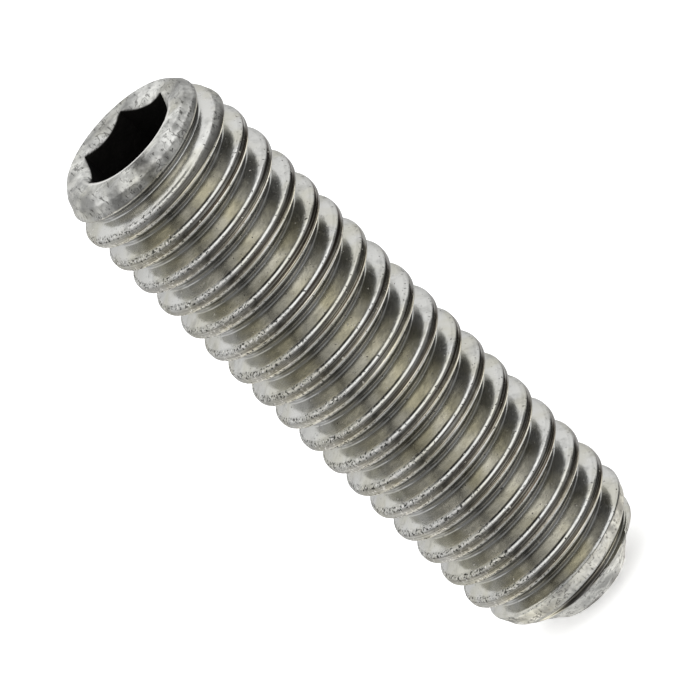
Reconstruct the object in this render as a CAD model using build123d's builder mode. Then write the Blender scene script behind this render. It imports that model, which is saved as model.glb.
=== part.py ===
"""Grub set screw: an M4 x 0.7 screw with no head, 14 mm nominal length, in stainless steel.

It has a hexagon socket for a key at one end and a cup point at the other. It is one solid, cold
formed from wire, with a rolled right-hand thread along its whole length.

Frame: millimetres, +Z along the axis towards the socket, origin on the axis in the plane of the
cup's rim. The screw stands on that rim.
"""

import os
from math import ceil, radians, tan

from build123d import *

# Thread: radii to the crest and the root, and the ridge's section between them
PITCH = 0.7
CREST_RADIUS = 1.925
ROOT_RADIUS = 1.57
CREST_WIDTH = 0.2
FLANK_ANGLE = 30.0  # of each flank, from a plane square to the axis
FIRST_CREST_HEIGHT = 0.52  # above the rim, where the lowest crest crosses +X
RIDGE_SEAT = 0.04  # how far the ridge reaches into the core that carries it

# Outline: a chamfer at each end, and crests that rise slowly from it, because the chamfered
# blank has too little metal there to fill the thread
LENGTH = 13.8
END_CHAMFER_ANGLE = 45.0  # from the axis
POINT_RIM_RADIUS = 0.92
POINT_CHAMFER_HEIGHT = 0.45
POINT_SHOULDER_HEIGHT = 0.65  # where the last crest steps off the point's chamfer
POINT_SHOULDER_RADIUS = 1.67
SOCKET_FACE_RADIUS = 1.525
SOCKET_CHAMFER_HEIGHT = 0.155
RUNOUT_ANGLE = 21.0  # of the rise of the crests, from the axis
OUTLINE_CLEARANCE = 0.15  # between the ends, where the outline stays outside the crests

# Hexagon socket
KEY_SIZE = 2.02  # across flats
KEY_TURN = 14.2  # from +X to one of the corners, about the axis
SOCKET_DEPTH = 2.5
SOCKET_FLOOR_SLOPE = 30.0  # of the conical floor, from flat
MOUTH_RADIUS = 1.15
MOUTH_SLOPE = 45.0  # of the countersink that breaks the flats' edges, from flat

# Cup point
CUP_RADIUS = 0.87
CUP_SLOPE = 30.0  # of the cup's cone, from flat

# Ridge of the thread: one section carried along a helix, turn by turn, past both ends
ridge_base_radius = ROOT_RADIUS - RIDGE_SEAT
ridge_height = CREST_RADIUS - ridge_base_radius
half_crest = CREST_WIDTH / 2
half_base = half_crest + ridge_height * tan(radians(FLANK_ANGLE))
thread_start = FIRST_CREST_HEIGHT - PITCH
thread_turns = ceil((LENGTH + half_base - thread_start) / PITCH)
ridge_plane = Plane(origin=(ridge_base_radius, 0, thread_start), x_dir=(1, 0, 0), z_dir=(0, -1, 0))

with BuildPart() as ridge:
    with BuildLine():
        for turn in range(thread_turns):
            Helix(PITCH, PITCH, ridge_base_radius, center=(0, 0, thread_start + turn * PITCH))
    with BuildSketch(ridge_plane):
        with BuildLine():
            Polyline(
                (0, -half_base),
                (ridge_height, -half_crest),
                (ridge_height, half_crest),
                (0, half_base),
                close=True,
            )
        make_face()
    sweep(is_frenet=True)

# The screw: a core with the ridge on it, trimmed to the outline, then hollowed at both ends
outline_radius = CREST_RADIUS + OUTLINE_CLEARANCE
chamfer_slope = tan(radians(END_CHAMFER_ANGLE))
runout_slope = tan(radians(RUNOUT_ANGLE))
point_chamfer_radius = POINT_RIM_RADIUS + POINT_CHAMFER_HEIGHT * chamfer_slope
point_runout_top = POINT_SHOULDER_HEIGHT + (outline_radius - POINT_SHOULDER_RADIUS) / runout_slope
socket_chamfer_radius = SOCKET_FACE_RADIUS + SOCKET_CHAMFER_HEIGHT * chamfer_slope
socket_chamfer_foot = LENGTH - SOCKET_CHAMFER_HEIGHT
socket_runout_foot = socket_chamfer_foot - (outline_radius - socket_chamfer_radius) / runout_slope
key_radius = KEY_SIZE / 2
socket_floor = LENGTH - SOCKET_DEPTH
socket_floor_tip = socket_floor - key_radius * tan(radians(SOCKET_FLOOR_SLOPE))
mouth_tip = LENGTH - MOUTH_RADIUS * tan(radians(MOUTH_SLOPE))
cup_tip = CUP_RADIUS * tan(radians(CUP_SLOPE))

with BuildPart() as set_screw:
    # Core and thread
    with BuildSketch():
        Circle(ROOT_RADIUS)
    extrude(amount=LENGTH)
    add(ridge.part)

    # Outline, with its chamfers and the rise of the crests at both ends
    with BuildSketch(Plane.XZ):
        with BuildLine():
            Polyline(
                (0, 0),
                (POINT_RIM_RADIUS, 0),
                (point_chamfer_radius, POINT_CHAMFER_HEIGHT),
                (POINT_SHOULDER_RADIUS, POINT_SHOULDER_HEIGHT),
                (outline_radius, point_runout_top),
                (outline_radius, socket_runout_foot),
                (socket_chamfer_radius, socket_chamfer_foot),
                (SOCKET_FACE_RADIUS, LENGTH),
                (0, LENGTH),
                close=True,
            )
        make_face()
    revolve(axis=Axis.Z, mode=Mode.INTERSECT)

    # Socket for the key, with a conical floor
    with BuildSketch(Plane.XY.offset(LENGTH)):
        RegularPolygon(key_radius, 6, major_radius=False, rotation=KEY_TURN)
    extrude(amount=-SOCKET_DEPTH, mode=Mode.SUBTRACT)
    with BuildSketch(Plane.XZ):
        with BuildLine():
            Polyline((0, socket_floor_tip), (key_radius, socket_floor), (0, socket_floor), close=True)
        make_face()
    revolve(axis=Axis.Z, mode=Mode.SUBTRACT)

    # Countersink at the socket's mouth
    with BuildSketch(Plane.XZ):
        with BuildLine():
            Polyline((0, mouth_tip), (MOUTH_RADIUS, LENGTH), (0, LENGTH), close=True)
        make_face()
    revolve(axis=Axis.Z, mode=Mode.SUBTRACT)

    # Cup in the point, which leaves a narrow flat rim
    with BuildSketch(Plane.XZ):
        with BuildLine():
            Polyline((0, 0), (CUP_RADIUS, 0), (0, cup_tip), close=True)
        make_face()
    revolve(axis=Axis.Z, mode=Mode.SUBTRACT)

set_screw.part.label = "set_screw"
os.makedirs("parts", exist_ok=True)
export_step(set_screw.part, "parts/set_screw.step")
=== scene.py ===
"""Looks of the grub set screw: a rolled stainless thread with a key socket and a cup point.

The screw is one closed skin. Its thread is a profile carried up a helix, its ends are rings of
points, and the rows between them share their points, so nothing is left open.

Lengths are in millimetres up to the moment a mesh is written, and Blender's own are in metres.
"""

import logging
import math
from dataclasses import dataclass, field
from enum import Enum

import bpy
import numpy as np
from mathutils import Matrix, Vector


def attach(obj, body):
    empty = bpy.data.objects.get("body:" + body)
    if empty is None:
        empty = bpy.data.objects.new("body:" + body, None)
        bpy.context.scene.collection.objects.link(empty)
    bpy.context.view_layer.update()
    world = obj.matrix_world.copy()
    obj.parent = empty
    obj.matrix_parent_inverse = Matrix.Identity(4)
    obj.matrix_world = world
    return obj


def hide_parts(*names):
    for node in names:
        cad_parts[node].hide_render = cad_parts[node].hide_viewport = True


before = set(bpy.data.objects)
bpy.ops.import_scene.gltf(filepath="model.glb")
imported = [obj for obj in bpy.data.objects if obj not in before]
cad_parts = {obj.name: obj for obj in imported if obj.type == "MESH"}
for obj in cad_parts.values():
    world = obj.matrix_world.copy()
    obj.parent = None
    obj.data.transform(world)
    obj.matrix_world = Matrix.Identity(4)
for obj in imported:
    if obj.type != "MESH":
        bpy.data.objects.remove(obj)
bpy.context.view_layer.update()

log = logging.getLogger("set_screw")

METRES_PER_MM = 0.001
FULL_TURN = 2 * math.pi

# Phase through the thread's pitch of a clean flank, which points off the thread are given too
CLEAN_PHASE = 0.6 * math.pi

# A turn between two faces, in degrees, from which the edge between them is sharp
SHARP_TURN = 40.0

Tree = bpy.types.NodeTree
Socket = bpy.types.NodeSocket
Pair = tuple[float, float]
Triple = tuple[float, float, float]
Colour = tuple[float, float, float, float]
Stops = tuple[Pair, ...]

# Blender's names for the two kinds of node that do arithmetic
MATH, VECTOR_MATH = "ShaderNodeMath", "ShaderNodeVectorMath"

# Where a mix node has its share, its two colours and its resulting colour
MIX_SHARE, MIX_UNDER, MIX_OVER, MIX_RESULT = 0, 6, 7, 2


def linear(hex_colour: str) -> Colour:
    """Turns an sRGB colour into the linear one that Blender works in.

    Args:
        hex_colour: six hexadecimal digits after a hash sign.

    Returns:
        Red, green, blue and a full alpha.
    """
    parts = [int(hex_colour[i : i + 2], 16) / 255 for i in (1, 3, 5)]
    curved = [c / 12.92 if c <= 0.04045 else ((c + 0.055) / 1.055) ** 2.4 for c in parts]
    return (curved[0], curved[1], curved[2], 1.0)


def add_node(
    tree: Tree, kind: str, inputs: dict | tuple = (), output: int | str = 0, **settings
) -> Socket:
    """Adds one shader node, with its settings and what feeds it.

    Args:
        tree: the node tree that the node joins.
        kind: Blender's name for the node type.
        inputs: for each input a value or the socket that is linked to it, either in the inputs'
            order or by their names or numbers.
        output: the name or number of the output that is wanted.
        settings: attributes of the node.

    Returns:
        That output.
    """
    node = tree.nodes.new(kind)
    for name, value in settings.items():
        setattr(node, name, value)
    values = inputs if isinstance(inputs, dict) else dict(enumerate(inputs))
    for name, value in values.items():
        if isinstance(value, Socket):
            tree.links.new(value, node.inputs[name])
        else:
            node.inputs[name].default_value = value
    return node.outputs[output]


def product(tree: Tree, *values) -> Socket:
    """Adds the multiplications of several values.

    Args:
        tree: the node tree that they join.
        values: two or more numbers or sockets.

    Returns:
        Their product.
    """
    total = values[0]
    for value in values[1:]:
        total = add_node(tree, MATH, (total, value), operation="MULTIPLY")
    return total


def rising(tree: Tree, value: Socket, low: float, high: float) -> Socket:
    """Adds a smooth step.

    Args:
        tree: the node tree that it joins.
        value: what is compared.
        low: where the step starts.
        high: where it ends.

    Returns:
        Nought below the low value, one above the high one, smooth between.
    """
    values = {"Value": value, "From Min": low, "From Max": high}
    return add_node(
        tree, "ShaderNodeMapRange", values, "Result", interpolation_type="SMOOTHSTEP"
    )


def falling(tree: Tree, value: Socket, low: float, high: float) -> Socket:
    """Adds a smooth step downwards.

    Args:
        tree: the node tree that it joins.
        value: what is compared.
        low: where the step starts.
        high: where it ends.

    Returns:
        One below the low value, nought above the high one, smooth between.
    """
    return add_node(tree, MATH, (1.0, rising(tree, value, low, high)), operation="SUBTRACT")


def away(tree: Tree, value: Socket, middle: float) -> Socket:
    """Adds the distance of a value from a middle one.

    Args:
        tree: the node tree that it joins.
        value: what is compared.
        middle: the value whose distance is nought.

    Returns:
        The distance, to either side.
    """
    apart = add_node(tree, MATH, (value, middle), operation="SUBTRACT")
    return add_node(tree, MATH, (apart,), operation="ABSOLUTE")


def ramped(tree: Tree, value: Socket, stops: Stops, top: float = 1.0) -> Socket:
    """Adds a level that follows a list of stops, straight from each one to the next.

    Args:
        tree: the node tree that it joins.
        value: what the level depends on.
        stops: values in rising order, each with its level.
        top: a level that none of the stops is above.

    Returns:
        The level.
    """
    first, last = stops[0][0], stops[-1][0]
    span = last - first
    share = add_node(tree, MATH, (value, 1 / span, -first / span), operation="MULTIPLY_ADD")
    ramp = add_node(tree, "ShaderNodeValToRGB", (share,), "Color")
    elements = ramp.node.color_ramp.elements
    while len(elements) < len(stops):
        elements.new(0.5)
    for element, (step, level) in zip(elements, stops):
        element.position = (step - first) / span
        element.color = (level / top, level / top, level / top, 1)
    return product(tree, ramp, top)


def mixed(tree: Tree, under, over, share, blend: str = "MIX") -> Socket:
    """Adds a mix of two colours.

    Args:
        tree: the node tree that it joins.
        under: the colour, or its socket, at a share of nought.
        over: the colour, or its socket, at a share of one.
        share: how much of the second one shows.
        blend: Blender's name for the way they are mixed.

    Returns:
        The mixed colour.
    """
    values = {MIX_SHARE: share, MIX_UNDER: under, MIX_OVER: over}
    return add_node(
        tree, "ShaderNodeMix", values, MIX_RESULT, data_type="RGBA", blend_type=blend
    )


def smooth_lower(a: np.ndarray, b: np.ndarray, blend: float) -> np.ndarray:
    """The lower of two heights, with the corner between them rounded.

    Where the two differ by less than the blend, the parabola (blend - |a - b|)^2 / (4 blend) is
    taken off the lower one.

    Args:
        a: first height.
        b: second height.
        blend: difference at which the rounding starts.

    Returns:
        The rounded lower height.
    """
    near = np.clip(blend - np.abs(a - b), 0, None)
    return np.minimum(a, b) - near**2 / (4 * blend)


@dataclass
class ThreadForm:
    """The rolled thread's section over one pitch, and the helix that carries it.

    Angles are in degrees, and the flank's is from a plane square to the axis. The first crest is
    the height at which the lowest one crosses +X. The steps are how many faces each stretch of
    half the section has.
    """

    pitch: float = 0.7
    crest_radius: float = 1.925
    root_radius: float = 1.57
    flank_angle: float = 30.0
    crown_half_width: float = 0.04
    crown_radius: float = 0.9
    lip_radius: float = 0.11
    root_fillet: float = 0.065
    first_crest: float = 0.52
    root_steps: int = 6
    flank_steps: int = 5
    lip_steps: int = 7
    crown_steps: int = 2

    def half_section(self) -> tuple[np.ndarray, np.ndarray]:
        """Half the section, from the middle of a root to the middle of the crest above it.

        The root is flat in the middle, then an arc that turns through the flank's slope. The
        flank is straight. The lip is a small arc that turns most of the way back, and the crown
        is a wide arc from there to the middle of the crest. Points on an arc that ends at (z, r)
        with the slope t0 are (z - radius (sin t - sin t0), r - radius (cos t0 - cos t)).

        Returns:
            Heights along the axis from the root's middle, and radii.
        """
        slope = math.radians(90 - self.flank_angle)
        crown_slope = math.asin(self.crown_half_width / self.crown_radius)
        turn = np.linspace(crown_slope, 0, self.crown_steps + 1)
        crown_z = self.pitch / 2 - self.crown_radius * np.sin(turn)
        crown_r = self.crest_radius - self.crown_radius * (1 - np.cos(turn))
        turn = np.linspace(slope, crown_slope, self.lip_steps + 1)
        lip_z = crown_z[0] - self.lip_radius * (np.sin(turn) - math.sin(crown_slope))
        lip_r = crown_r[0] - self.lip_radius * (math.cos(crown_slope) - np.cos(turn))
        turn = np.linspace(0, slope, self.root_steps + 1)
        root_r = self.root_radius + self.root_fillet * (1 - np.cos(turn))
        root_end = lip_z[0] - (lip_r[0] - root_r[-1]) / math.tan(slope)
        root_z = root_end - self.root_fillet * (math.sin(slope) - np.sin(turn))
        flank_z = np.linspace(root_z[-1], lip_z[0], self.flank_steps + 1)
        flank_r = np.linspace(root_r[-1], lip_r[0], self.flank_steps + 1)
        z = np.concatenate([[0.0], root_z, flank_z[1:], lip_z[1:], crown_z[1:]])
        r = np.concatenate([[self.root_radius], root_r, flank_r[1:], lip_r[1:], crown_r[1:]])
        return z, r

    def section(self) -> tuple[np.ndarray, np.ndarray]:
        """The whole section over one pitch, from root to root, without its last point.

        Returns:
            Heights along the axis, from minus half a pitch at the root to nought at the crest's
            middle and back to the next root, and radii.
        """
        z, r = self.half_section()
        full_z = np.concatenate([z - self.pitch / 2, self.pitch / 2 - z[-2:0:-1]])
        full_r = np.concatenate([r, r[-2:0:-1]])
        return full_z, full_r


@dataclass
class ScrewSizes:
    """Sizes of the screw's outline, socket and point, in millimetres and degrees.

    The key's turn is from +X to a corner of the socket, and the painted highlight's from +X to the
    middle of the stretch of its mouth's edge where that highlight is painted. The slopes of the
    socket's floor, its mouth and the cup are from flat, and the run-out's, of the rise of the
    crests, is from the axis.
    """

    length: float = 13.8
    point_rim_radius: float = 0.92
    point_chamfer: float = 0.45
    point_shoulder: Pair = (0.65, 1.67)
    socket_face_radius: float = 1.525
    socket_chamfer: float = 0.155
    runout_slope: float = 21.0
    runout_reach: float = 1.0
    key_size: float = 2.02
    key_turn: float = 14.2
    socket_depth: float = 2.5
    socket_floor_slope: float = 30.0
    mouth_radius: float = 1.15
    mouth_slope: float = 45.0
    cup_radius: float = 0.87
    cup_slope: float = 30.0
    edge_break: float = 0.02
    runout_blend: float = 0.05
    wear_depth: float = 0.025
    wear_margin: float = 0.1
    wear_waves: tuple[tuple[int, float], ...] = (
        (2, 3.0), (5, -9.0), (9, 14.0), (17, -21.0), (28, 30.0),
    )
    wear_seed: int = 4
    highlight_turn: float = -100.0


class Mark(Enum):
    """Marks stored on the skin's points, by the names that the finish reads them under."""

    PHASE_COS = "phase_cos"
    PHASE_SIN = "phase_sin"
    END = "end"
    # KEY marks where the socket's shade is painted, RIM where a highlight is painted on the mouth's
    # edge
    KEY = "key"
    RIM = "rim"


@dataclass
class SkinPoints:
    """The skin's points as they are gathered, each with its marks."""

    places: list[np.ndarray] = field(default_factory=list)
    marks: dict[Mark, list[np.ndarray]] = field(default_factory=lambda: {m: [] for m in Mark})
    count: int = 0

    def add(self, r, angle, z, phase=CLEAN_PHASE, end=1.0, key=0.0, rim=0.0) -> np.ndarray:
        """Adds points at (r cos angle, r sin angle, z), from arrays or single numbers.

        Args:
            r: distances from the axis.
            angle: angles about the axis.
            z: heights above the rim.
            phase: angle through one pitch of the thread, nought on a crest's middle.
            end: one where a chamfer or an end face cut the thread away, nought on the thread.
            key: one inside the socket, where its shade is painted dark, nought outside.
            rim: one where a highlight is painted on the near edge of the socket's mouth.

        Returns:
            The numbers of the new points.
        """
        r, angle, z, phase, end, key, rim = np.broadcast_arrays(r, angle, z, phase, end, key, rim)
        self.places.append(np.column_stack([r * np.cos(angle), r * np.sin(angle), z]))
        self.marks[Mark.PHASE_COS].append(np.cos(phase))
        self.marks[Mark.PHASE_SIN].append(np.sin(phase))
        self.marks[Mark.END].append(end)
        self.marks[Mark.KEY].append(key)
        self.marks[Mark.RIM].append(rim)
        numbers = self.count + np.arange(len(r))
        self.count += len(r)
        return numbers

    def mesh(self, name: str, faces: np.ndarray) -> bpy.types.Mesh:
        """Writes the points, their marks and the faces between them into a mesh.

        Args:
            name: the mesh's name.
            faces: four point numbers each, two of them the same in a triangle.

        Returns:
            The mesh, in metres, smooth but for its sharp edges.
        """
        repeats = faces == np.roll(faces, -1, axis=1)
        corners = faces[~repeats]
        sizes = 4 - repeats.sum(axis=1)
        starts = np.cumsum(sizes) - sizes
        mesh = bpy.data.meshes.new(name)
        mesh.vertices.add(self.count)
        places = np.vstack(self.places) * METRES_PER_MM
        mesh.vertices.foreach_set("co", places.astype(np.float32).ravel())
        mesh.loops.add(len(corners))
        mesh.loops.foreach_set("vertex_index", corners.astype(np.int32))
        mesh.polygons.add(len(sizes))
        mesh.polygons.foreach_set("loop_start", starts.astype(np.int32))
        mesh.polygons.foreach_set("loop_total", sizes.astype(np.int32))
        for mark, values in self.marks.items():
            store = mesh.attributes.new(mark.value, "FLOAT", "POINT")
            store.data.foreach_set("value", np.concatenate(values).astype(np.float32))
        mesh.update(calc_edges=True)
        mesh.validate()
        mesh.polygons.foreach_set("use_smooth", np.ones(len(mesh.polygons), bool))
        mesh.set_sharp_from_angle(angle=math.radians(SHARP_TURN))
        return mesh


@dataclass
class Ring:
    """One ring of points round the axis, with its marks."""

    radii: np.ndarray
    height: float
    # key is the share of the socket's painted shade, rim that of the painted highlight on the
    # mouth's edge
    key: np.ndarray | float = 0.0
    rim: np.ndarray | float = 0.0


@dataclass
class SetScrew:
    """The whole screw: one skin from the socket's floor, over the thread, to the cup's tip.

    The columns of its grid stand round the axis, and their number is a multiple of six, so that
    each corner of the socket has one.
    """

    thread: ThreadForm = field(default_factory=ThreadForm)
    sizes: ScrewSizes = field(default_factory=ScrewSizes)
    columns: int = 108
    spare_turns: int = 3
    face_rings: int = 3
    mouth_rings: int = 14
    wall_rings: int = 12
    floor_rings: int = 7
    hollow_rings: int = 10
    pole_share: float = 0.1

    def angles(self) -> np.ndarray:
        """Angles of the columns about the axis, the first of them on a corner of the socket."""
        start = math.radians(self.sizes.key_turn)
        return start + np.arange(self.columns) * FULL_TURN / self.columns

    def outline_radius(self, z: np.ndarray) -> np.ndarray:
        """Radius of the outline: a 45 degree cone at each end, then the crests' slow rise.

        At the point a steeper step joins the two, where the last crest ends on the chamfer.

        Args:
            z: heights above the rim.

        Returns:
            The radius that the thread is cut down to.
        """
        s = self.sizes
        reach = s.runout_reach
        rise = reach * math.tan(math.radians(s.runout_slope))
        shoulder_z, shoulder_r = s.point_shoulder
        corner_r = s.socket_face_radius + s.socket_chamfer
        corner_z = s.length - s.socket_chamfer
        line = (
            (0, s.point_rim_radius),
            (s.point_chamfer, s.point_rim_radius + s.point_chamfer),
            (shoulder_z, shoulder_r),
            (shoulder_z + reach, shoulder_r + rise),
            (corner_z - reach, corner_r + rise),
            (corner_z, corner_r),
            (s.length, s.socket_face_radius),
        )
        heights, radii = zip(*line)
        return np.interp(z, heights, radii)

    def unevenness(self, angle: np.ndarray, z: np.ndarray) -> np.ndarray:
        """How far the worn ends stand in from their true shape, from nought to one.

        It is the mean of the wear waves round the axis and along it, each of them
        (1 + sin(turns * angle + along * z + shift)) / 2 with a seeded shift.

        Args:
            angle: angles about the axis.
            z: heights above the rim.

        Returns:
            The share at each point.
        """
        s = self.sizes
        seeded = np.random.default_rng(s.wear_seed)
        total = np.zeros(np.broadcast(angle, z).shape)
        for turns, along in s.wear_waves:
            total += (1 + np.sin(turns * angle + along * z + seeded.uniform(0, FULL_TURN))) / 2
        return total / len(s.wear_waves)

    def thread_rows(self) -> tuple[np.ndarray, np.ndarray, np.ndarray, np.ndarray]:
        """The threaded part on a sheared grid, whose rows follow the helix.

        Row n, column j stands at the section's height n plus pitch * j / columns, so the end of
        a row meets the start of the row one pitch of rows further on. The radius is the
        section's, cut down to the outline with a rounded corner, and uneven where it is cut.
        Rows past the two end rings are laid on them.

        Returns:
            Heights, radii, phases through the pitch, and the share that is cut.
        """
        t, s = self.thread, self.sizes
        section_z, section_r = t.section()
        turns = math.ceil(s.length / t.pitch) + self.spare_turns
        first = t.first_crest + t.pitch * (math.radians(s.key_turn) / FULL_TURN - 2)
        z = (first + t.pitch * np.arange(turns)[:, None] + section_z[None, :]).ravel()
        section = np.tile(section_r, turns)[:, None]
        lift = t.pitch * np.arange(self.columns) / self.columns
        z = np.clip(z[:, None] + lift[None, :], s.edge_break, s.length - s.edge_break)
        outline = self.outline_radius(z)
        from_ring = np.minimum(z - s.edge_break, s.length - s.edge_break - z)
        worn = np.clip(from_ring / s.wear_margin, 0, 1) * s.wear_depth
        outline = outline - worn * self.unevenness(self.angles()[None, :], z)
        r = smooth_lower(section + 0 * z, outline, s.runout_blend)
        cut = np.clip((section - r) / s.runout_blend, 0, 1)
        phase = np.tile(section_z, turns)[:, None] * FULL_TURN / t.pitch + 0 * z
        return z, r, phase, cut

    def key_radius(self) -> np.ndarray:
        """Distance from the axis to the hexagon at each column: half the key size / cos."""
        past_corner = np.mod(self.angles() - math.radians(self.sizes.key_turn), FULL_TURN / 6)
        return self.sizes.key_size / 2 / np.cos(past_corner - FULL_TURN / 12)

    def socket_rings(self) -> list[Ring]:
        """Rings from the socket end's outer edge, over the face and down the socket.

        In the mouth the radius is the higher of the hexagon's and the countersink cone's, with
        a rounded corner between them.

        Returns:
            The rings, from the outside in.
        """
        s = self.sizes
        flat = np.ones(self.columns)
        hexagon = self.key_radius()
        inscribed = s.key_size / 2
        edge = s.edge_break

        # Broken outer edge, then the face as far as the edge of the mouth, with a painted highlight
        rings = [
            Ring(flat * (s.socket_face_radius + 0.3 * edge), s.length - 0.35 * edge),
            Ring(flat * (s.socket_face_radius - 0.4 * edge), s.length),
        ]
        outer, inner = s.socket_face_radius - 5 * edge, s.mouth_radius + 4 * edge
        rings += [Ring(flat * r, s.length) for r in np.linspace(outer, inner, self.face_rings)]
        # Share of the painted highlight on the mouth's edge, full on the near side
        near = np.clip(1.5 * np.cos(self.angles() - math.radians(s.highlight_turn)), 0, 1)
        rings.append(Ring(flat * (s.mouth_radius + 2.5 * edge), s.length, rim=near))
        rings.append(Ring(flat * (s.mouth_radius + 0.8 * edge), s.length - 0.1 * edge, rim=near))

        # Mouth, from just under the face to just past the hexagon's corners
        mouth_slope = math.tan(math.radians(s.mouth_slope))
        mouth_depth = (s.mouth_radius - inscribed) * mouth_slope
        for depth in np.linspace(0.08, 1.25, self.mouth_rings) * mouth_depth:
            cone = s.mouth_radius - depth / mouth_slope
            r = -smooth_lower(-hexagon, -flat * cone, 0.5 * edge)
            # How much of the socket's painted shade a point gets, where the hexagon's walls show
            socket_shade = np.clip((hexagon - cone) / edge, 0, 1)
            rings.append(Ring(r, s.length - depth, socket_shade))

        # Walls, and the floor as far as its pole, all with the socket's painted shade
        for depth in np.linspace(0.1 * s.socket_depth, s.socket_depth, self.wall_rings):
            rings.append(Ring(hexagon, s.length - depth, 1.0))
        floor = s.length - s.socket_depth
        for share in np.linspace(1, self.pole_share, self.floor_rings):
            drop = inscribed * (1 - share) * math.tan(math.radians(s.socket_floor_slope))
            rings.append(Ring(flat * inscribed * share, floor - drop, 1.0))
        return rings

    def cup_rings(self) -> list[Ring]:
        """Rings from the point end's outer edge, over the rim and up into the cup.

        Returns:
            The rings, from the outside in.
        """
        s = self.sizes
        flat = np.ones(self.columns)
        edge = s.edge_break

        # The narrow rim with its broken edges, then the cup as far as its pole
        rings = [
            Ring(flat * (s.point_rim_radius + 0.3 * edge), 0.35 * edge),
            Ring(flat * (s.point_rim_radius - 0.3 * edge), 0.0),
            Ring(flat * (s.cup_radius + 0.3 * edge), 0.0),
            Ring(flat * (s.cup_radius - 0.3 * edge), 0.25 * edge),
        ]
        for share in np.linspace(0.95, self.pole_share, self.hollow_rings):
            rise = s.cup_radius * (1 - share) * math.tan(math.radians(s.cup_slope))
            rings.append(Ring(flat * s.cup_radius * share, rise))
        return rings

    def build(self) -> bpy.types.Object:
        """Joins the threaded grid, the two sets of rings and the two poles into one skin.

        Returns:
            The screw's object, with its place in its mesh.
        """
        s = self.sizes
        angles = self.angles()

        # Threaded grid: points past an end ring are that ring's own
        z, r, phase, cut = self.thread_rows()
        low, high = z.min(), z.max()
        inside = (z > low) & (z < high)
        turned = np.tile(angles, (z.shape[0], 1))
        skin = SkinPoints()
        index = np.zeros(z.shape, int)
        index[inside] = skin.add(
            r[inside], turned[inside], z[inside], phase[inside], cut[inside]
        )
        low_ring = skin.add(self.outline_radius(low), angles, low)
        high_ring = skin.add(self.outline_radius(high), angles, high)
        index = np.where(z <= low, low_ring[None, :], index)
        index = np.where(z >= high, high_ring[None, :], index)

        # The last column meets the first one of the turn above
        rows = len(self.thread.section()[0])
        next_column = np.vstack([index[rows:, :1], np.repeat(high_ring[:1, None], rows, 0)])
        faces = [quads(np.hstack([index, next_column]))]

        # Ends: the rings inwards from each end ring, closed by a pole
        ends = (
            (high_ring, self.socket_rings(), s.socket_floor_slope, -1),
            (low_ring, self.cup_rings(), s.cup_slope, 1),
        )
        for ring, rings, pole_slope, way in ends:
            layers = [ring]
            for one in rings:
                layers.append(skin.add(one.radii, angles, one.height, key=one.key, rim=one.rim))
            last = rings[-1]
            pole_z = last.height + way * last.radii[0] * math.tan(math.radians(pole_slope))
            pole = skin.add(np.zeros(1), 0.0, pole_z, key=last.key)
            layers.append(np.repeat(pole, self.columns))
            stack = np.array(layers[::-way])
            faces.append(quads(np.hstack([stack, stack[:, :1]])))
        mesh = skin.mesh("set_screw_skin", np.vstack(faces))
        piece = bpy.data.objects.new("set_screw_skin", mesh)
        bpy.context.scene.collection.objects.link(piece)
        return piece


def quads(index: np.ndarray) -> np.ndarray:
    """Faces between the rows and columns of a grid of point numbers, all facing outwards.

    Args:
        index: point numbers, a row for each height and a column for each angle.

    Returns:
        Four point numbers for each face. Two neighbours of them are the same where a face has
        shrunk to a triangle, and faces that have shrunk to a line are left out.
    """
    a, b = index[:-1, :-1], index[:-1, 1:]
    c, d = index[1:, 1:], index[1:, :-1]
    faces = np.stack([a, b, c, d], -1).reshape(-1, 4)
    sides = (faces != np.roll(faces, -1, axis=1)).sum(axis=1)
    return faces[sides >= 3]


@dataclass(frozen=True)
class Grain:
    """Noise, with the size of its grains in millimetres and how many finer layers it has."""

    size: float
    detail: float = 2.0


@dataclass(frozen=True)
class Patches:
    """Noise cut to patches.

    Each has the size of its grains in millimetres, the noise at which a patch begins and at
    which it is full, how much of a full patch shows, and how many finer layers the noise has.
    """

    size: float
    low: float
    high: float
    share: float = 1.0
    detail: float = 2.0


@dataclass(frozen=True)
class Blotches:
    """Noise made a level: the noise times the gain, plus the base, and one at most.

    Each has the size of its grains in millimetres, and how many finer layers the noise has.
    """

    size: float
    gain: float
    base: float
    detail: float = 2.0


@dataclass(frozen=True)
class Smudge:
    """A dark smudge on the socket's face: its place, how far it reaches and how dark it is."""

    x: float
    y: float
    reach: float
    share: float


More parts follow.
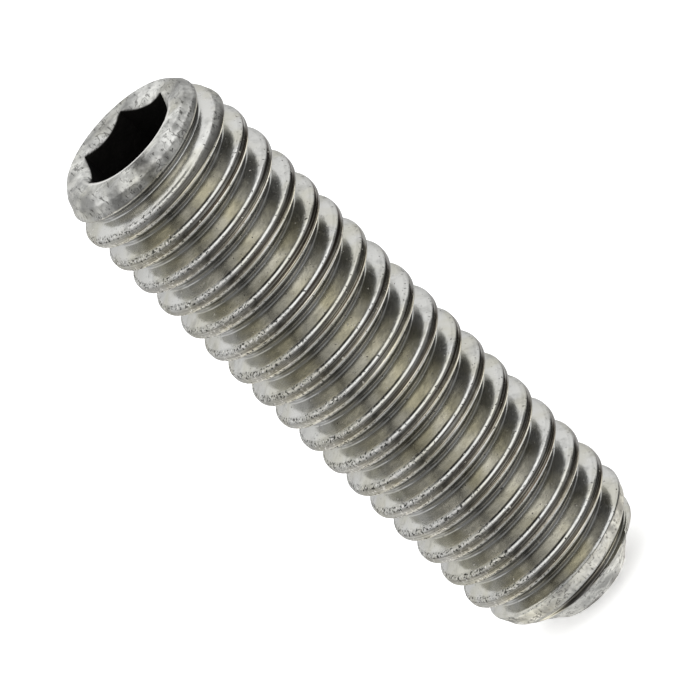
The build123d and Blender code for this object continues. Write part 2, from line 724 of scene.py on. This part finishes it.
@dataclass(frozen=True)
class RolledStainless:
    """Austenitic stainless steel, cold formed and thread rolled, then cleaned bright.

    The dies press the flanks smooth and leave fine lines along the thread. Dark residue stays in
    streaks along the crests, and the steel is stained a little greenish where it lay wet. The roots
    and the lowest groove are darkened with painted shade, and a painted dark line beside each crest
    stands in for a dark reflection. One side is worn: its crests are rough and full of dark pits.
    The ends were never touched by the dies: they are mottled, scratched and smudged, and a
    highlight is painted on the near edge of the socket's mouth. The socket's shade is painted dark.

    Sizes, and places along X and Z, are in millimetres. Places through the pitch are distances
    from the middle of a crest, in pitches. A pair is where a smooth step starts and ends.
    """

    # Colours: the steel, its stains, the pale and the dark grey of the ends, the streaks, which
    # also paint the shade of the lowest groove, the pits, the grit, what is rubbed bright, which
    # also paints the highlight on the mouth's edge, and the painted shade of the socket
    colour: str = "#CFCFCC"
    stain: str = "#C4C2B5"
    pale: str = "#EEEEEA"
    mottle: str = "#8F8F8D"
    streak_and_shade: str = "#5E554D"
    speck: str = "#2E2C29"
    grit: str = "#E4E2DC"
    burnish_and_highlight: str = "#E9E8E4"
    socket_shade: str = "#3A3836"

    # Zones: the crest, the lips at its edges and the worn side, whose outermost part is rubbed
    crest_edge: Pair = (0.09, 0.13)
    lip_middle: float = 0.15
    lip_edge: Pair = (0.04, 0.1)
    worn_side: Pair = (-1.1, 0.2)
    rubbed_side: Pair = (-1.6, -1.2)

    # Bare steel
    stains: Patches = Patches(0.9, 0.42, 0.64, 0.75)
    blotches: Blotches = Blotches(0.3, 1.5, 0.26, 5.0)
    blotch_share: float = 0.8

    # Painted shade: its levels in the roots and in a painted dark line beside each crest, both
    # patchy. On a strip along the screw the painted dark line is dark, and so is the painted shade
    # of the lowest groove.
    root_painted_shade: Stops = ((0.37, 1.0), (0.42, 0.95), (0.45, 0.75), (0.5, 0.6))
    painted_dark_line: Stops = ((0.165, 1.0), (0.187, 0.07), (0.205, 0.07), (0.225, 1.0))
    shade_blotches: Blotches = Blotches(0.22, 0.9, 0.5)
    strip_middle: float = -0.15
    strip_edge: Pair = (0.35, 0.8)
    off_strip_drop: float = 0.88
    groove_top: Pair = (0.75, 1.1)
    groove_side: Pair = (0.3, 0.38)
    groove_edge: Pair = (0.45, 0.8)
    groove_share: float = 0.75

    # Die lines, and the dark ones of them on the crest, which wear away
    die_line_size: float = 0.02
    die_line_rise: float = 0.5
    dark_lines: Pair = (0.4, 0.56)
    dark_line_wear: float = 0.6

    # Ends
    pale_patches: Patches = Patches(0.5, 0.34, 0.6, 0.8, 3.0)
    coarse_mottle: Patches = Patches(0.4, 0.44, 0.68, 0.85, 5.0)
    fine_mottle: Patches = Patches(0.11, 0.44, 0.7, 0.5, 5.0)
    scratches: Patches = Patches(0.06, 0.58, 0.68, detail=3.0)
    scratch_stretch: Triple = (1.0, 0.2, 0.5)
    crack_grain: Grain = Grain(0.4, 3.0)
    crack_middle: float = 0.5
    crack_width: Pair = (0.003, 0.018)
    cracked: Patches = Patches(0.6, 0.45, 0.55)
    mark_share: float = 0.65
    smudge_grain: Grain = Grain(0.15, 4.0)
    smudge_ragged: float = 0.3
    smudge_core: float = 0.4
    smudge_stretch: Triple = (1.0, 0.5, 0.5)
    smudges: tuple[Smudge, ...] = (
        Smudge(-0.16, -1.3, 0.5, 0.85),
        Smudge(1.45, -0.2, 0.7, 0.3),
        Smudge(-0.8, -1.15, 0.6, 0.3),
        Smudge(0.2, 1.4, 0.9, 0.25),
    )

    # Dark pits, with what is added to their noise everywhere, on the lips and on worn lips, then
    # pale grit, and bright nicks on worn crests
    specks: Patches = Patches(0.05, 0.64, 0.68, 0.85)
    speck_bias: float = -0.05
    speck_lip_bias: float = 0.05
    speck_worn_bias: float = 0.1
    gritty: Patches = Patches(0.07, 0.82, 0.86, detail=0.0)
    nicks: Patches = Patches(0.06, 0.56, 0.66, detail=3.0)

    # Roughness of the thread and the ends, and what is added unevenly, where rubbed and on grains
    roughness: float = 0.15
    end_roughness: float = 0.45
    uneven_grain: Grain = Grain(0.12, 4.0)
    uneven_roughness: float = 0.08
    rubbed_roughness: float = 0.3
    grain_roughness: float = 0.4

    # Bump: the depth of a height of one, then the heights of a fine grain, of dents, of the die
    # lines and of the pits
    bump_depth: float = 0.003
    fine_grain: Grain = Grain(0.06, 3.0)
    fine_height: float = 0.35
    fine_worn_height: float = 1.6
    fine_end_height: float = 2.6
    dent_grain: Grain = Grain(0.25, 4.0)
    dent_height: float = 1.5
    dent_end_height: float = 5.0
    line_height: float = 0.04
    line_crest_height: float = 0.26
    speck_height: float = -0.4

    def build(self) -> bpy.types.Material:
        """Makes the material.

        Returns:
            The stainless steel.
        """
        material = bpy.data.materials.new("rolled_stainless_steel")
        material.use_nodes = True
        tree = material.node_tree
        shader = tree.nodes["Principled BSDF"]
        shader.inputs["Metallic"].default_value = 1.0
        nodes = SteelNodes(tree, self)
        steel = nodes.bare_steel()
        for layer in (nodes.add_painted_shade, nodes.add_dark_lines, nodes.add_ends, nodes.add_grains):
            steel = layer(steel)
        tree.links.new(steel, shader.inputs["Base Color"])
        tree.links.new(nodes.roughness(), shader.inputs["Roughness"])
        tree.links.new(nodes.bump(), shader.inputs["Normal"])
        return material


class SteelNodes:
    """The steel's nodes as they are added, with the zones of the skin that its layers share."""

    def __init__(self, tree: Tree, finish: RolledStainless) -> None:
        """Adds the nodes that read the skin, and works out its zones.

        Args:
            tree: the material's node tree.
            finish: what the steel is like.
        """
        self.tree, self.finish = tree, finish
        metres = add_node(tree, "ShaderNodeTexCoord", output="Object")
        self.place = add_node(
            tree, VECTOR_MATH, {0: metres, "Scale": 1 / METRES_PER_MM}, operation="SCALE"
        )
        parts = add_node(tree, "ShaderNodeSeparateXYZ", (self.place,)).node.outputs
        self.x, self.z = parts["X"], parts["Z"]
        marks = {
            mark: add_node(tree, "ShaderNodeAttribute", output="Fac", attribute_name=mark.value)
            for mark in Mark
        }
        # key carries the socket's painted shade, rim the painted highlight on the mouth's near edge
        self.end, self.key, self.rim = marks[Mark.END], marks[Mark.KEY], marks[Mark.RIM]
        self.on_thread = add_node(tree, MATH, (1.0, self.end), operation="SUBTRACT")
        sine, cosine = marks[Mark.PHASE_SIN], marks[Mark.PHASE_COS]
        turn = add_node(tree, MATH, (sine, cosine), operation="ARCTAN2")
        self.phase = add_node(tree, MATH, (turn, FULL_TURN), operation="DIVIDE")
        self.from_crest = add_node(tree, MATH, (self.phase,), operation="ABSOLUTE")
        self.on_crest = falling(tree, self.from_crest, *finish.crest_edge)
        lip = falling(tree, away(tree, self.from_crest, finish.lip_middle), *finish.lip_edge)
        self.on_lip = product(tree, lip, self.on_thread)
        self.near_crest = add_node(tree, MATH, (self.on_lip, self.on_crest), operation="MAXIMUM")
        self.worn = falling(tree, self.x, *finish.worn_side)
        self.worn_lip = product(tree, self.on_lip, self.worn)
        self.die_lines = self.lines_along_thread()
        self.specks = self.dark_pits()
        self.grit = self.patches(finish.gritty, self.on_thread)

    def noise(self, kind: Grain | Patches | Blotches, where: Socket | None = None) -> Socket:
        """Adds noise.

        Args:
            kind: what has the size of its grains, and its detail.
            where: the place to read it at, in millimetres, if not the skin's own.

        Returns:
            Levels from nought to one.
        """
        place = self.place if where is None else where
        values = {"Vector": place, "Scale": 1 / kind.size, "Detail": kind.detail}
        return add_node(self.tree, "ShaderNodeTexNoise", values, "Fac")

    def patches(self, kind: Patches, *shares, where: Socket | None = None) -> Socket:
        """Adds noise that is cut to patches.

        Args:
            kind: what the patches are like.
            shares: what else they are multiplied by.
            where: the place to read the noise at, if not the skin's own.

        Returns:
            How much of the patches shows.
        """
        full = rising(self.tree, self.noise(kind, where), kind.low, kind.high)
        return product(self.tree, full, kind.share, *shares)

    def blotches(self, kind: Blotches) -> Socket:
        """Adds noise that is made a level.

        Args:
            kind: what the blotches are like.

        Returns:
            The level, one at most.
        """
        values = (self.noise(kind), kind.gain, kind.base)
        level = add_node(self.tree, MATH, values, operation="MULTIPLY_ADD")
        return add_node(self.tree, MATH, (level, 1.0), operation="MINIMUM")

    def lines_along_thread(self) -> Socket:
        """Adds the die lines, as noise that is stretched along the thread.

        The real ones are finer than a pixel, so they are drawn about four times as wide.

        Returns:
            Levels from nought to one.
        """
        tree, f = self.tree, self.finish
        across = product(tree, self.phase, ThreadForm.pitch / f.die_line_size)
        along = product(tree, self.z, 1 / f.die_line_rise)
        return self.noise(Grain(1.0), add_node(tree, "ShaderNodeCombineXYZ", (across, along)))

    def dark_pits(self) -> Socket:
        """Adds the dark pits, most of them on the lips of the worn side.

        Returns:
            How much of them shows.
        """
        tree, f = self.tree, self.finish
        values = (self.worn_lip, f.speck_worn_bias, f.speck_bias)
        bias = add_node(tree, MATH, values, operation="MULTIPLY_ADD")
        bias = add_node(tree, MATH, (self.on_lip, f.speck_lip_bias, bias), operation="MULTIPLY_ADD")
        level = add_node(tree, MATH, (self.noise(f.specks), bias), operation="ADD")
        return product(tree, rising(tree, level, f.specks.low, f.specks.high), f.specks.share)

    def bare_steel(self) -> Socket:
        """Adds the colour of the steel, stained here and there, and blotched."""
        tree, f = self.tree, self.finish
        steel = mixed(tree, linear(f.colour), linear(f.stain), self.patches(f.stains))
        return mixed(tree, steel, self.blotches(f.blotches), f.blotch_share, "MULTIPLY")

    def add_painted_shade(self, steel: Socket) -> Socket:
        """Darkens the colour with painted shade in the roots and the lowest groove, and a painted
        dark line beside each crest.
        """
        tree, f = self.tree, self.finish
        # Patchiness of the painted shade in the roots and of the painted dark line beside each
        # crest
        patchy_shade = product(tree, self.blotches(f.shade_blotches), self.on_thread)
        # Painted shade in the roots, darkest at their middle
        roots = ramped(tree, self.from_crest, f.root_painted_shade)
        steel = mixed(tree, steel, roots, patchy_shade, "MULTIPLY")
        # Painted shade in the lowest groove, on a strip along the screw
        off_strip = away(tree, self.x, f.strip_middle)
        groove = product(
            tree,
            falling(tree, self.z, *f.groove_top),
            rising(tree, self.from_crest, *f.groove_side),
            falling(tree, off_strip, *f.groove_edge),
            f.groove_share,
        )
        steel = mixed(tree, steel, linear(f.streak_and_shade), groove, "MULTIPLY")
        # Painted dark line beside each crest, standing in for a dark reflection, full only on a
        # strip along the screw
        faint = rising(tree, off_strip, *f.strip_edge)
        dark_line_strip = add_node(tree, MATH, (faint, -f.off_strip_drop, 1.0), operation="MULTIPLY_ADD")
        lines = ramped(tree, self.from_crest, f.painted_dark_line)
        return mixed(tree, steel, lines, product(tree, patchy_shade, dark_line_strip), "MULTIPLY")

    def add_dark_lines(self, steel: Socket) -> Socket:
        """Darkens the colour by the die lines on the crest, which hold residue."""
        tree, f = self.tree, self.finish
        unworn = add_node(tree, MATH, (self.worn, -f.dark_line_wear, 1.0), operation="MULTIPLY_ADD")
        lines = rising(tree, self.die_lines, *f.dark_lines)
        share = product(tree, lines, self.on_crest, self.on_thread, unworn)
        return mixed(tree, steel, linear(f.streak_and_shade), share)

    def add_ends(self, steel: Socket) -> Socket:
        """Makes the ends paler but mottled grey, with dark scratches, cracks and smudges."""
        tree, f = self.tree, self.finish
        steel = mixed(tree, steel, linear(f.pale), self.patches(f.pale_patches, self.end))
        coarse, fine = self.patches(f.coarse_mottle), self.patches(f.fine_mottle)
        mottled = product(tree, add_node(tree, MATH, (coarse, fine), operation="MAXIMUM"), self.end)
        steel = mixed(tree, steel, linear(f.mottle), mottled)
        stretched = add_node(
            tree, VECTOR_MATH, (self.place, f.scratch_stretch), operation="MULTIPLY"
        )
        scratches = self.patches(f.scratches, where=stretched)
        level_line = away(tree, self.noise(f.crack_grain), f.crack_middle)
        cracks = self.patches(f.cracked, falling(tree, level_line, *f.crack_width))
        marked = add_node(tree, MATH, (scratches, cracks), operation="MAXIMUM")
        steel = mixed(tree, steel, linear(f.speck), product(tree, marked, self.end, f.mark_share))
        for smudge in f.smudges:
            steel = mixed(tree, steel, linear(f.speck), self.smudged(smudge))
        return steel

    def smudged(self, smudge: Smudge) -> Socket:
        """Adds one smudge.

        Args:
            smudge: where and what it is.

        Returns:
            How much of it shows.
        """
        tree, f = self.tree, self.finish
        middle = (smudge.x, smudge.y, ScrewSizes.length)
        apart = add_node(tree, VECTOR_MATH, (self.place, middle), operation="SUBTRACT")
        apart = add_node(tree, VECTOR_MATH, (apart, f.smudge_stretch), operation="MULTIPLY")
        apart = add_node(tree, VECTOR_MATH, (apart,), "Value", operation="LENGTH")
        uneven = self.noise(f.smudge_grain)
        ragged = add_node(tree, MATH, (uneven, f.smudge_ragged, apart), operation="MULTIPLY_ADD")
        full = falling(tree, ragged, f.smudge_core * smudge.reach, smudge.reach)
        return product(tree, full, smudge.share, self.end)

    def add_grains(self, steel: Socket) -> Socket:
        """Adds pits, grit, nicks, a painted highlight on the mouth, the socket's painted shade."""
        tree, f = self.tree, self.finish
        nicked = self.patches(f.nicks, self.near_crest, self.worn, self.on_thread)
        layers = (
            (f.speck, self.specks),
            (f.grit, self.grit),
            (f.burnish_and_highlight, nicked),
            # painted highlight on the near edge of the socket's mouth
            (f.burnish_and_highlight, self.rim),
            # painted shade of the socket
            (f.socket_shade, self.key),
        )
        for colour, share in layers:
            steel = mixed(tree, steel, linear(colour), share)
        return steel

    def roughness(self) -> Socket:
        """Adds the roughness: smooth thread, duller ends, rubbed crests, pits and grit."""
        tree, f = self.tree, self.finish
        duller = f.end_roughness - f.roughness
        rough = add_node(tree, MATH, (self.end, duller, f.roughness), operation="MULTIPLY_ADD")
        uneven = product(tree, self.noise(f.uneven_grain), f.uneven_roughness)
        rough = add_node(tree, MATH, (rough, uneven), operation="ADD")
        outermost = falling(tree, self.x, *f.rubbed_side)
        rubbed = add_node(tree, MATH, (self.worn_lip, outermost), operation="MAXIMUM")
        rubbed = product(tree, rubbed, self.near_crest)
        rough = add_node(tree, MATH, (rubbed, f.rubbed_roughness, rough), operation="MULTIPLY_ADD")
        grainy = add_node(tree, MATH, (self.specks, self.grit), operation="MAXIMUM")
        return add_node(tree, MATH, (grainy, f.grain_roughness, rough), operation="MULTIPLY_ADD")

    def bump(self) -> Socket:
        """Adds the bump: dents, die lines, and a grain that is deeper on ends and worn lips."""
        tree, f = self.tree, self.finish
        values = (self.end, f.dent_end_height, f.dent_height)
        dent_height = add_node(tree, MATH, values, operation="MULTIPLY_ADD")
        dents = product(tree, self.noise(f.dent_grain), dent_height)
        values = (self.on_crest, f.line_crest_height, f.line_height)
        line_height = add_node(tree, MATH, values, operation="MULTIPLY_ADD")
        lines = product(tree, self.die_lines, self.on_thread, line_height)
        height = add_node(tree, MATH, (lines, dents), operation="ADD")
        values = (self.worn_lip, f.fine_worn_height, f.fine_height)
        deep = add_node(tree, MATH, values, operation="MULTIPLY_ADD")
        deep = add_node(tree, MATH, (self.end, f.fine_end_height, deep), operation="MULTIPLY_ADD")
        for share, rise in ((self.noise(f.fine_grain), deep), (self.specks, f.speck_height)):
            height = add_node(tree, MATH, (share, rise, height), operation="MULTIPLY_ADD")
        depth = f.bump_depth * METRES_PER_MM
        values = {"Height": height, "Distance": depth, "Strength": 1.0}
        return add_node(tree, "ShaderNodeBump", values)


@dataclass(frozen=True)
class Disc:
    """A round panel in the tent.

    Its azimuth is from the front towards the right, and that, its elevation and its radius are
    in degrees. The level is how much light it adds, or the share that it takes away.
    """

    azimuth: float
    elevation: float
    radius: float
    level: float


@dataclass
class Studio:
    """Camera, light and floor.

    The camera's distance and height on the axis are in millimetres, and the pixel is where that
    place on the axis is seen. Places in the tent are parts of the direction that is looked in,
    each from -1 to 1: x to the right, y away from the camera and z up. A pair of them is where
    a smooth step starts and ends.
    """

    distance: float = 500.0
    elevation: float = 23.15
    roll: float = 46.4
    mm_per_pixel: float = 0.7 / 35.49
    pixels: int = 700
    axis_height: float = 7.12
    axis_pixel: Pair = (351.2, 353.7)
    sensor: float = 36.0

    # Floor: half its side in metres, its colour and its own light towards the camera
    floor_half: float = 3.0
    floor_colour: Colour = (0.9, 0.9, 0.9, 1.0)
    floor_glow: float = 0.52

    # Tent: levels in front by height, with edges that stand higher by the drop towards the right,
    # levels from left to right below the given height, and levels behind by height
    levels: Stops = (
        (-1.0, 0.8), (-0.88, 0.9), (-0.75, 1.35), (-0.57, 1.4), (-0.52, 0.45), (-0.46, 0.2),
        (-0.39, 0.26), (0.5, 0.3), (0.59, 0.45), (0.66, 1.6), (1.0, 1.4),
    )
    drop_start: float = 0.6
    drop: float = 0.4
    sides: Stops = (
        (-1.0, 1.35), (-0.95, 1.4), (-0.9, 1.4), (-0.84, 1.2), (-0.79, 1.1), (-0.7, 0.85),
        (-0.6, 0.55), (-0.56, 0.1), (-0.5, 0.1), (-0.46, 0.48), (-0.36, 0.6), (-0.19, 0.65),
        (0.0, 0.88), (0.19, 1.25), (0.38, 1.5), (0.55, 1.4), (0.69, 0.95), (0.8, 0.6),
        (0.88, 0.55), (0.94, 1.0), (1.0, 1.0),
    )
    sides_top: Pair = (-0.2, 0.1)
    back_levels: Stops = (
        (-1.0, 0.5), (0.0, 0.68), (0.2, 0.79), (0.4, 0.98), (0.7, 1.08), (1.0, 1.1),
    )
    back_edge: Pair = (0.58, 0.66)
    back_advance: float = 0.35
    advance_above: Pair = (0.0, 0.15)
    advance_left: Pair = (-0.6, -0.8)
    top_level: float = 2.0

    # Warm tint of the tent low in front, and the plain white of the light elsewhere
    warm: Colour = (1.0, 0.955, 0.84, 1.0)
    plain: Colour = (1.0, 1.0, 1.0, 1.0)
    warm_from: Pair = (-0.85, -0.7)
    warm_to: Pair = (-0.4, -0.2)

    # Lamps low at the left, the second of them further back, and a dark flag at the right
    lamp: Disc = Disc(-100.0, -53.0, 25.0, 0.6)
    side_lamp: Disc = Disc(-121.0, -37.0, 18.0, 0.55)
    flag: Disc = Disc(101.0, -10.0, 26.0, 0.68)
    half_soft_edge: float = 1.5

    def camera(self) -> bpy.types.Object:
        """Stands the camera where the photograph was taken from.

        It looks along +Y and down by the elevation, and is rolled about its own axis until the
        screw's socket points up and to the left.

        Returns:
            The camera's object.
        """
        up = math.radians(self.elevation)
        back = Vector((0, -math.cos(up), math.sin(up)))
        level_right = Vector((1, 0, 0))
        level_up = Vector((0, math.sin(up), math.cos(up)))
        roll = math.radians(self.roll)
        right = level_right * math.cos(roll) - level_up * math.sin(roll)
        above = level_right * math.sin(roll) + level_up * math.cos(roll)
        across = (self.axis_pixel[0] - self.pixels / 2) * self.mm_per_pixel
        down = (self.axis_pixel[1] - self.pixels / 2) * self.mm_per_pixel
        target = Vector((0, 0, self.axis_height)) - right * across + above * down
        data = bpy.data.cameras.new("camera")
        data.sensor_width = self.sensor
        data.lens = self.sensor * self.distance / (self.pixels * self.mm_per_pixel)
        data.clip_start = 0.01
        data.clip_end = 10
        camera = bpy.data.objects.new("camera", data)
        bpy.context.scene.collection.objects.link(camera)
        turn = Matrix((right, above, back)).transposed().to_4x4()
        place = Matrix.Translation((target + back * self.distance) * METRES_PER_MM)
        camera.matrix_world = place @ turn
        bpy.context.scene.camera = camera
        return camera

    def tent(self) -> None:
        """Lights the screw from a soft tent with panels of different brightness.

        Behind the screw the tent grows a little brighter upwards, and so it does beside the
        screw above its middle and at the far left. In front its levels go by height, darkest a
        little below the lens and as far up as half height. Low down there, the panels also
        differ from left to right, with a dark gap on the left.
        """
        world = bpy.data.worlds.new("tent")
        bpy.context.scene.world = world
        world.use_nodes = True
        tree = world.node_tree
        way = add_node(tree, "ShaderNodeTexCoord", output="Generated")
        parts = add_node(tree, "ShaderNodeSeparateXYZ", (way,)).node.outputs
        front = self.front(tree, way, parts["X"], parts["Z"])
        back = ramped(tree, parts["Z"], self.back_levels, self.top_level)
        light = mixed(tree, front, back, self.behind(tree, parts["X"], parts["Y"], parts["Z"]))
        light = mixed(tree, light, self.disc(tree, way, self.side_lamp), 1.0, "ADD")
        background = tree.nodes["Background"]
        tree.links.new(light, background.inputs["Color"])
        flag = self.disc(tree, way, self.flag)
        strength = add_node(tree, MATH, (1.0, flag), operation="SUBTRACT")
        tree.links.new(strength, background.inputs["Strength"])

    def front(self, tree: Tree, way: Socket, x: Socket, z: Socket) -> Socket:
        """Adds the light of the front of the tent.

        Args:
            tree: the world's node tree.
            way: the direction that is looked in.
            x: its part to the right.
            z: its part upwards.

        Returns:
            The light's colour.
        """
        past = add_node(tree, MATH, (x, self.drop_start), operation="SUBTRACT")
        past = add_node(tree, MATH, (past, 0.0), operation="MAXIMUM")
        dropped = add_node(tree, MATH, (z, product(tree, past, self.drop)), operation="SUBTRACT")
        level = ramped(tree, dropped, self.levels, self.top_level)
        side = ramped(tree, x, self.sides, self.top_level)
        rest = add_node(tree, MATH, (1.0, side), operation="SUBTRACT")
        values = (rest, rising(tree, z, *self.sides_top), side)
        side = add_node(tree, MATH, values, operation="MULTIPLY_ADD")
        values = (product(tree, level, side), self.disc(tree, way, self.lamp))
        lit = add_node(tree, MATH, values, operation="ADD")
        above_warm = rising(tree, z, *self.warm_to)
        values = (rising(tree, z, *self.warm_from), above_warm)
        warmth = add_node(tree, MATH, values, operation="SUBTRACT")
        tint = mixed(tree, self.plain, self.warm, warmth)
        return add_node(tree, VECTOR_MATH, {0: tint, "Scale": lit}, operation="SCALE")

    def behind(self, tree: Tree, x: Socket, y: Socket, z: Socket) -> Socket:
        """Adds the edge between the front and the back of the tent.

        Args:
            tree: the world's node tree.
            x: the part to the right of the direction that is looked in.
            y: its part away from the camera.
            z: its part upwards.

        Returns:
            Nought in front, one behind.
        """
        above, left = rising(tree, z, *self.advance_above), rising(tree, x, *self.advance_left)
        depth = add_node(tree, MATH, (above, self.back_advance, y), operation="MULTIPLY_ADD")
        depth = add_node(tree, MATH, (left, self.back_advance, depth), operation="MULTIPLY_ADD")
        return rising(tree, depth, *self.back_edge)

    def disc(self, tree: Tree, way: Socket, panel: Disc) -> Socket:
        """Adds a round panel in the tent.

        Args:
            tree: the world's node tree.
            way: the direction that is looked in.
            panel: where it stands, and its level.

        Returns:
            The level inside the panel, nought outside it, with a soft edge.
        """
        azimuth, elevation = math.radians(panel.azimuth), math.radians(panel.elevation)
        centre = (
            math.sin(azimuth) * math.cos(elevation),
            -math.cos(azimuth) * math.cos(elevation),
            math.sin(elevation),
        )
        facing = add_node(tree, VECTOR_MATH, (way, centre), "Value", operation="DOT_PRODUCT")
        outside = math.cos(math.radians(panel.radius + self.half_soft_edge))
        inside = math.cos(math.radians(panel.radius - self.half_soft_edge))
        return product(tree, rising(tree, facing, outside, inside), panel.level)

    def floor(self) -> bpy.types.Object:
        """Lays the pale floor that the screw stands on.

        Its colour is as pale as a lit floor's, and a glow that only the camera sees lifts it to
        white where nothing shades it. The screw's metal doesn't mirror it, because the tent
        already has the light from below.

        Returns:
            The floor's object.
        """
        half = self.floor_half
        mesh = bpy.data.meshes.new("floor")
        corners = [(-half, -half, 0), (half, -half, 0), (half, half, 0), (-half, half, 0)]
        mesh.from_pydata(corners, [], [(0, 1, 2, 3)])
        floor = bpy.data.objects.new("floor", mesh)
        bpy.context.scene.collection.objects.link(floor)
        material = bpy.data.materials.new("pale_floor")
        material.use_nodes = True
        tree = material.node_tree
        tree.nodes.remove(tree.nodes["Principled BSDF"])
        matt = add_node(tree, "ShaderNodeBsdfDiffuse", {"Color": self.floor_colour})
        seen = add_node(tree, "ShaderNodeLightPath", output="Is Camera Ray")
        strength = product(tree, seen, self.floor_glow)
        glow = add_node(tree, "ShaderNodeEmission", {"Color": self.plain, "Strength": strength})
        both = add_node(tree, "ShaderNodeAddShader", (matt, glow))
        tree.links.new(both, tree.nodes["Material Output"].inputs["Surface"])
        mesh.materials.append(material)
        floor.visible_glossy = False
        return floor


def main() -> None:
    """Builds the studio and the screw, attaches the screw to its body and logs its face count."""
    logging.basicConfig(level=logging.INFO, format="%(message)s")
    bpy.context.scene.view_settings.view_transform = "Standard"
    studio = Studio()
    studio.camera()
    studio.tent()
    studio.floor()
    screw = SetScrew().build()
    screw.data.materials.append(RolledStainless().build())
    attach(screw, "root")
    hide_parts("set_screw")
    log.info("%s: %d faces", screw.name, len(screw.data.polygons))


if __name__ == "__main__":
    main()
